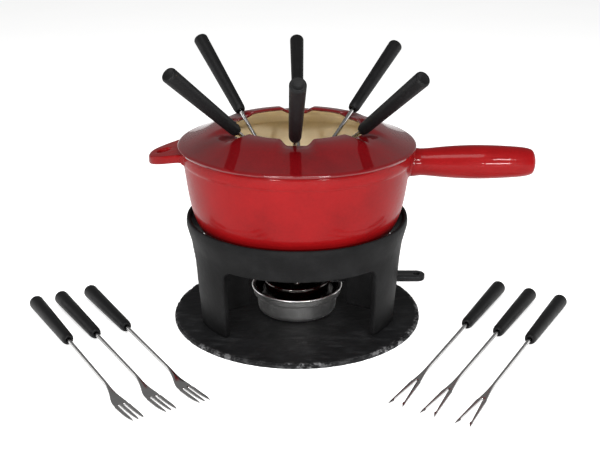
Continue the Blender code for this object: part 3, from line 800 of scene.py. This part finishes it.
# ---------------------------------------------------------------- burner
def burner():
    cup = [(0.0, CUP_BASE + 0.0012), (0.0365, CUP_BASE + 0.0012, 0.0030), (0.0400, 0.0236, 0.0006),
           (0.0430, 0.0246, 0.0006), (0.0438, 0.0308, 0.0008), (0.0447, 0.0322, 0.0006),
           (0.0455, 0.0322, 0.0004), (0.0460, 0.0314, 0.0006), (0.0450, 0.0300, 0.0008),
           (0.0441, 0.0240, 0.0010), (0.0412, 0.0228, 0.0007), (0.0392, 0.0085, 0.0030),
           (0.0372, CUP_BASE, 0.0022), (0.0, CUP_BASE)]
    me = turned("cup", soften(cup, steps=5), 160, [STEEL_SPUN])
    sharpen(me, 50.0)
    fit(piece("burner_bowl", me), "burner", "burner_cup")

    pad = [(0.0, 0.0172), (0.0372, 0.0171, 0.001), (0.0378, 0.0160, 0.001),
           (0.0360, 0.0069, 0.0008), (0.0, 0.0069)]
    me = turned("pad", fill_in(soften(pad), 0.0012), 96, [WOOL])
    # uneven top
    for v in me.vertices:
        if v.co.z > 0.0100:
            v.co.z -= 0.0005 * (0.5 + 0.5 * noise.noise(v.co * 260.0))
    me.shade_smooth()
    fit(piece("burner_pad", me), "burner", "burner_wool")

    disc = [(0.0, 0.0184), (0.0382, 0.0184, 0.0002), (0.0384, 0.0180, 0.0002),
            (0.0382, 0.0176, 0.0002), (0.0, 0.0176)]
    me = turned("disc", fill_in(soften(disc), 0.003), 96, [GAUZE])
    sharpen(me, 50.0)
    fit(piece("burner_mesh_disc", me), "burner", "burner_gauze")

    cover = [(0.0235, 0.0262, 0.0003), (0.0235, 0.0272, 0.0004), (0.0330, 0.0272), (0.0390, 0.0284),
             (0.0419, 0.0307), (0.0427, 0.0313, 0.0004), (0.0427, 0.0250, 0.0002),
             (0.0417, 0.0250, 0.0002), (0.0413, 0.0293, 0.0010), (0.0386, 0.0274), (0.0328, 0.0262)]
    me = turned("cover", soften(cover, True), 160, [STEEL_PAINTED_SHADE], closed=True)
    sharpen(me, 50.0)
    fit(piece("burner_ring", me), "burner_top", "burner_cover")

    cap = [(0.0, 0.0335), (0.0290, 0.0335, 0.0012), (0.0302, 0.0345, 0.0010),
           (0.0311, 0.0379, 0.0006), (0.0321, 0.0387, 0.0006), (0.0331, 0.0380, 0.0006),
           (0.0325, 0.0276, 0.0003), (0.0314, 0.0276, 0.0003), (0.0310, 0.0325, 0.0008),
           (0.0, 0.0325)]
    me = turned("cap", soften(cap, steps=5), 144, [STEEL_PAINTED_SHADE])
    sharpen(me, 50.0)
    fit(piece("burner_lid", me), "snuffer", "burner_cap")

    stud = [(0.0, 0.0361), (0.0016, 0.0359), (0.0030, 0.0351), (0.0036, 0.0342),
            (0.0036, 0.0338, 0.0001), (0.0, 0.0338)]
    me = turned("stud", soften(stud), 40, [STEEL_SPUN])
    sharpen(me, 60.0)
    fit(piece("burner_lid_stud", me), "snuffer", "burner_cap_stud")

    r_end = GRIP_W / 2
    bar = [(GRIP_X0, -r_end + 0.002, 0.001), (GRIP_X0 + 0.004, -r_end, 0.001)]
    for a in range(0, 181, 6):
        bar.append((GRIP_X1 - r_end + r_end * math.sin(math.radians(a)),
                    -r_end * math.cos(math.radians(a)), 0.0))
    bar += [(GRIP_X0 + 0.004, r_end, 0.001), (GRIP_X0, r_end - 0.002, 0.001)]
    bores = [circle(x, RIVET_BORE, 20) for x in RIVET_X]
    grip = rounded_plate("burner_grip",
                         [soften(bar, True), circle(GRIP_HOLE_X, GRIP_HOLE_R)] + bores,
                         (GRIP_Z1 - GRIP_Z0) / 2, 0.0008, BURNER_BLACK)
    grip.data.transform(Matrix.Translation((0, 0, (GRIP_Z0 + GRIP_Z1) / 2)))
    sharpen(grip.data, 40.0)
    fit(grip, "snuffer", "burner_handle")

    strap = soften([(0.0340, -0.0060, 0.0004), (0.0580, -0.0060, 0.002), (0.0600, -0.0035, 0.002),
                    (0.0600, 0.0035, 0.002), (0.0580, 0.0060, 0.002), (0.0340, 0.0060, 0.0004)],
                   True)
    strip = rounded_plate("burner_strip", [strap] + bores, STRIP_HALF, 0.0002, STEEL_DRAWN)
    strip.data.transform(Matrix.Translation((0, 0, GRIP_Z0 - GAP - STRIP_HALF)))
    sharpen(strip.data, 40.0)
    fit(strip, "snuffer", "burner_handle_bracket")

    low, high = GRIP_Z0 - 2 * GAP - 2 * STRIP_HALF, GRIP_Z1 + GAP
    for n, x in enumerate(RIVET_X, 1):
        rivet = [(0.0, high + 0.0012), (0.0014, high + 0.0011), (0.0026, high + 0.0005),
                 (0.0028, high, 0.0001), (0.0014, high, 0.0), (0.0014, low, 0.0),
                 (0.0024, low, 0.0002), (0.0022, low - 0.0006, 0.0004), (0.0, low - 0.0008)]
        me = turned("rivet", soften(rivet), 36, [STEEL_SPUN])
        me.transform(Matrix.Translation((x, 0, 0)))
        sharpen(me, 60.0)
        fit(piece(f"burner_rivet_{n}", me), "snuffer", f"burner_handle_rivet_{n}")


burner()


# ---------------------------------------------------------------- forks
def fork_handle():
    bore_r = SHAFT_R + GAP + 0.0001
    profile = [(0.0, FORK_HANDLE - 0.0012), (0.0030, FORK_HANDLE - 0.0010),
               (FORK_BUTT_R - 0.0012, FORK_HANDLE, 0.0008),
               (FORK_BUTT_R, FORK_HANDLE - 0.0018, 0.0012), (0.0066, 0.0500),
               (FORK_NECK_R + 0.0001, 0.0035, 0.002), (FORK_NECK_R - 0.0010, 0.0, 0.0008),
               (SHAFT_R + 0.0009, 0.0, 0.0004), (bore_r, 0.0008, 0.0004),
               (bore_r, TANG + GAP, 0.0), (0.0, TANG + GAP)]
    me = turned("fork_handle", fill_in(soften(profile, steps=5), 0.006), 56, [FORK_BLACK])
    sharpen(me, 50.0)
    return me


def cage(name, rows, open_cells):
    """A flat forging as a cage of quads, subdivided twice. Each row is (height, offset, [x], [half
    thickness]); open_cells(row, column) says whether the cell between that row and the next is a
    slot."""
    bm = bmesh.new()
    grid = []
    for z, offset, xs, halves in rows:
        grid.append([(bm.verts.new((x, offset + h, z)), bm.verts.new((x, offset - h, z)))
                     for x, h in zip(xs, halves)])
    columns = len(rows[0][2]) - 1
    full = {(i, c) for i in range(len(rows) - 1) for c in range(columns)
            if not open_cells(i, c)}
    for i, c in full:
        a, b, d, e = grid[i][c], grid[i][c + 1], grid[i + 1][c + 1], grid[i + 1][c]
        bm.faces.new((a[0], b[0], d[0], e[0]))
        bm.faces.new((e[1], d[1], b[1], a[1]))
        for near, (p, q) in (((i, c - 1), (e, a)), ((i, c + 1), (b, d)), ((i - 1, c), (a, b)),
                             ((i + 1, c), (d, e))):
            if near not in full:
                bm.faces.new((p[0], p[1], q[1], q[0]))
    bmesh.ops.delete(bm, geom=[v for v in bm.verts if not v.link_faces], context="VERTS")
    bmesh.ops.recalc_face_normals(bm, faces=bm.faces)
    ob = piece(name, to_mesh(bm, name), STEEL_DRAWN)
    m = ob.modifiers.new("smooth", "SUBSURF")
    m.levels = m.render_levels = 2
    apply(ob)
    me = ob.data
    bpy.data.objects.remove(ob, do_unlink=True)
    me.shade_smooth()
    return me


def ring(radius, columns):
    """x and half thickness of a round section with that many columns, sized so that the subdivided
    section has the radius."""
    n = 2 * columns
    r = radius * 6.0 / (4.0 + 2.0 * math.cos(math.tau / n))
    angles = [math.pi * (2 * (columns - c) - 1) / n for c in range(columns)]
    return [r * math.cos(a) for a in angles], [r * math.sin(a) for a in angles]


def between(a, b, t):
    return [x + (y - x) * t for x, y in zip(a, b)]


def tine(left, right):
    """Cage columns for a tine that ends up between left and right."""
    middle, half = (left + right) / 2, abs(right - left) / 2
    return middle - CAGE_GROWTH * half, middle + CAGE_GROWTH * half


def head_3_bend(along):
    """Offset of the three-tine head's middle; along is the distance from the tips."""
    if along > DIP_AT:
        u = max(0.0, min(1.0, (DIP_FROM - along) / DIP_RUN))
        return -HEAD_DIP * u * u * (3.0 - 2.0 * u)
    return -HEAD_DIP + (HEAD_DIP + HEAD_RISE) * (1.0 - along / DIP_AT) ** 1.5


def steel_3():
    tip = -STEEL_LONG[3]
    round_x, round_h = ring(SHAFT_R, 6)
    rows = [(z, 0.0, round_x, round_h)
            for z in (TANG, TANG - 0.001, 0.002, -0.040, tip + 0.088, tip + 0.078)]
    flat_h = [0.0006, 0.00085, 0.0009, 0.0009, 0.00085, 0.0006]
    # half width of the palm by distance from the tips
    palm = {0.0740: 0.0020, 0.0680: 0.0021, 0.0620: 0.0026, 0.0560: 0.0038, 0.0500: 0.0054,
            0.0450: 0.0064, 0.0400: 0.0067, 0.0370: 0.0067}
    for along, w in palm.items():
        t = smoothstep((0.078 - along) / 0.024)
        xs = [-w, -0.52 * w, -0.20 * w, 0.20 * w, 0.52 * w, w]
        halves = between(round_h, flat_h, t)
        rows.append((tip + along, head_3_bend(along), between(round_x, xs, min(1.0, 1.6 * t)),
                     halves))
    root = len(rows) - 1
    slim = [0.0010, 0.0011, 0.0011, 0.0011, 0.0011, 0.0010]
    # outer tines from inn to out either side, and the middle one, mid either side
    for along, out, inn, mid in ((0.0355, 0.0067, 0.0036, 0.0015), (0.0330, 0.0067, 0.0036, 0.0014),
                                 (0.0220, 0.0067, 0.0036, 0.0014), (0.0110, 0.0066, 0.0038, 0.0012),
                                 (0.0050, 0.0061, 0.0040, 0.0010), (0.0018, 0.0055, 0.0043, 0.0007),
                                 (0.0, 0.0052, 0.0045, 0.0004)):
        a, b = tine(inn, out)
        m = CAGE_GROWTH * mid
        xs = [-b, -a, -m, m, a, b]
        k = 1.0 if along > 0.012 else 0.45 + 0.55 * along / 0.012
        rows.append((tip + along, head_3_bend(along), xs, [k * h for h in slim]))
    return cage("steel_3", rows, lambda i, c: i >= root and c in (1, 3))


def steel_2():
    tip = -STEEL_LONG[2]
    slot = tip + SLOT_2
    round_x, round_h = ring(SHAFT_R, 4)
    rows = [(z, 0.0, round_x, round_h) for z in (TANG, TANG - 0.001, 0.002, -0.040, slot + 0.034)]
    flat_h = [0.0009, 0.0011, 0.0011, 0.0009]
    for z, w in ((slot + 0.026, 0.0020), (slot + 0.016, 0.0024), (slot + 0.008, 0.0031),
                 (slot + 0.003, 0.0037), (slot, 0.0040)):
        t = smoothstep((slot + 0.034 - z) / 0.030)
        rows.append((z, 0.0, between(round_x, [-w, -0.30 * w, 0.30 * w, w], t),
                     between(round_h, flat_h, t)))
    root = len(rows) - 1
    # the tines run from inn to out either side, each with a barb near its tip
    for along, inn, out in ((0.0445, 0.0010, 0.0042), (0.0410, 0.0014, 0.0044),
                            (0.0300, 0.0025, 0.0051), (0.0180, 0.0037, 0.0058),
                            (0.0098, 0.0046, 0.0063), (0.0084, 0.0047, 0.0064),
                            (0.0072, 0.0039, 0.0065), (0.0060, 0.0043, 0.0066),
                            (0.0030, 0.0055, 0.0068), (0.0006, 0.0064, 0.0069),
                            (0.0, 0.0066, 0.0069)):
        a, b = tine(inn, out)
        k = 1.0 if along > 0.010 else 0.5 + 0.5 * along / 0.010
        rows.append((tip + along, 0.0, [-b, -a, a, b], [k * 0.0011] * 4))
    return cage("steel_2", rows, lambda i, c: i >= root and c == 1)


HANDLE_MESH = fork_handle()
STEEL_MESH = {3: steel_3(), 2: steel_2()}


def fork(name, tines, matrix):
    for suffix, mesh, slot in (("handle", HANDLE_MESH, "fork_plastic"),
                               ("steel", STEEL_MESH[tines], "fork_steel")):
        ob = piece(f"{name}_{suffix}_piece", mesh)
        ob.matrix_world = matrix
        fit(ob, name, f"{name}_{suffix}")


for name, (az, offset, lean, tilt, start, lift, roll, tines) in STANDING.items():
    th = math.radians(tilt)
    sideways = Vector((math.cos(math.radians(az)), math.sin(math.radians(az)), 0.0))
    notch = around(az, REST_R, REST_Z + SHAFT_LIFT / math.sin(th) + lift) + sideways * offset
    axis = around(az + lean, math.sin(th), math.cos(th))
    level = axis.cross(Vector((0, 0, 1))).normalized()
    flat = (math.cos(math.radians(roll)) * level
            + math.sin(math.radians(roll)) * axis.cross(level)).normalized()
    place = frame_of(flat, axis.cross(flat), axis)
    place.translation = notch + axis * start
    fork("fork_standing_" + name, tines, place)

for name, (x, y, heading, tines) in LYING.items():
    slope = math.asin((BUTT_Z - TIP_Z[tines]) / (FORK_HANDLE + STEEL_LONG[tines]))
    ahead = around(heading, math.cos(slope), -math.sin(slope))
    axis = -ahead
    flat = Vector((0, 0, 1)).cross(axis).normalized()
    place = frame_of(flat, axis.cross(flat), axis)
    place.translation = Vector((x, y, BUTT_Z + LYING_LIFT)) + ahead * FORK_HANDLE
    fork("fork_lying_" + name, tines, place)


# ---------------------------------------------------------------- floor, lights and camera
def floor():
    bm = bmesh.new()
    bmesh.ops.create_grid(bm, x_segments=4, y_segments=4, size=FLOOR_SIZE)
    me = to_mesh(bm, "floor")
    g = Graph("pale_floor", (0.92, 0.92, 0.915), 0.85, Specular_IOR_Level=0.15)
    tones = [(0.3, (0.91, 0.91, 0.905)), (0.7, (0.93, 0.93, 0.925))]
    g.feed("Base Color", g.ramp(g.noise(6.0, 3.0), tones))
    g.set("Emission Color", (1.0, 1.0, 1.0, 1.0))
    g.set("Emission Strength", FLOOR_GLOW)
    ob = bpy.data.objects.new("floor", me)
    me.materials.append(g.mat)
    bpy.context.scene.collection.objects.link(ob)
    ob.location.z = FLOOR_Z


def softbox(name, spot, aim_z, width, height, watts):
    light = bpy.data.lights.new(name, "AREA")
    light.shape = "RECTANGLE"
    light.size, light.size_y, light.energy = width, height, watts
    ob = bpy.data.objects.new(name, light)
    bpy.context.scene.collection.objects.link(ob)
    ob.location = spot
    ahead = Vector((0.0, 0.0, aim_z)) - Vector(spot)
    ob.rotation_euler = ahead.to_track_quat("-Z", "Y").to_euler()


floor()
for name, light in SOFTBOXES.items():
    softbox(name, *light)

world = bpy.data.worlds.new("studio")
bpy.context.scene.world = world
world.use_nodes = True
background = world.node_tree.nodes["Background"]
background.inputs["Color"].default_value = (1.0, 1.0, 1.0, 1.0)
background.inputs["Strength"].default_value = AMBIENT
bpy.context.scene.view_settings.view_transform = "Standard"

camera = bpy.data.objects.new("camera", bpy.data.cameras.new("camera"))
bpy.context.scene.collection.objects.link(camera)
camera.location = CAMERA_SPOT
camera.rotation_euler = (math.radians(90.0 - CAMERA_DIP), 0.0, 0.0)
camera.data.sensor_width = CAMERA_SENSOR
camera.data.lens = CAMERA_LENS
camera.data.shift_x = CAMERA_SHIFT
bpy.context.scene.camera = camera
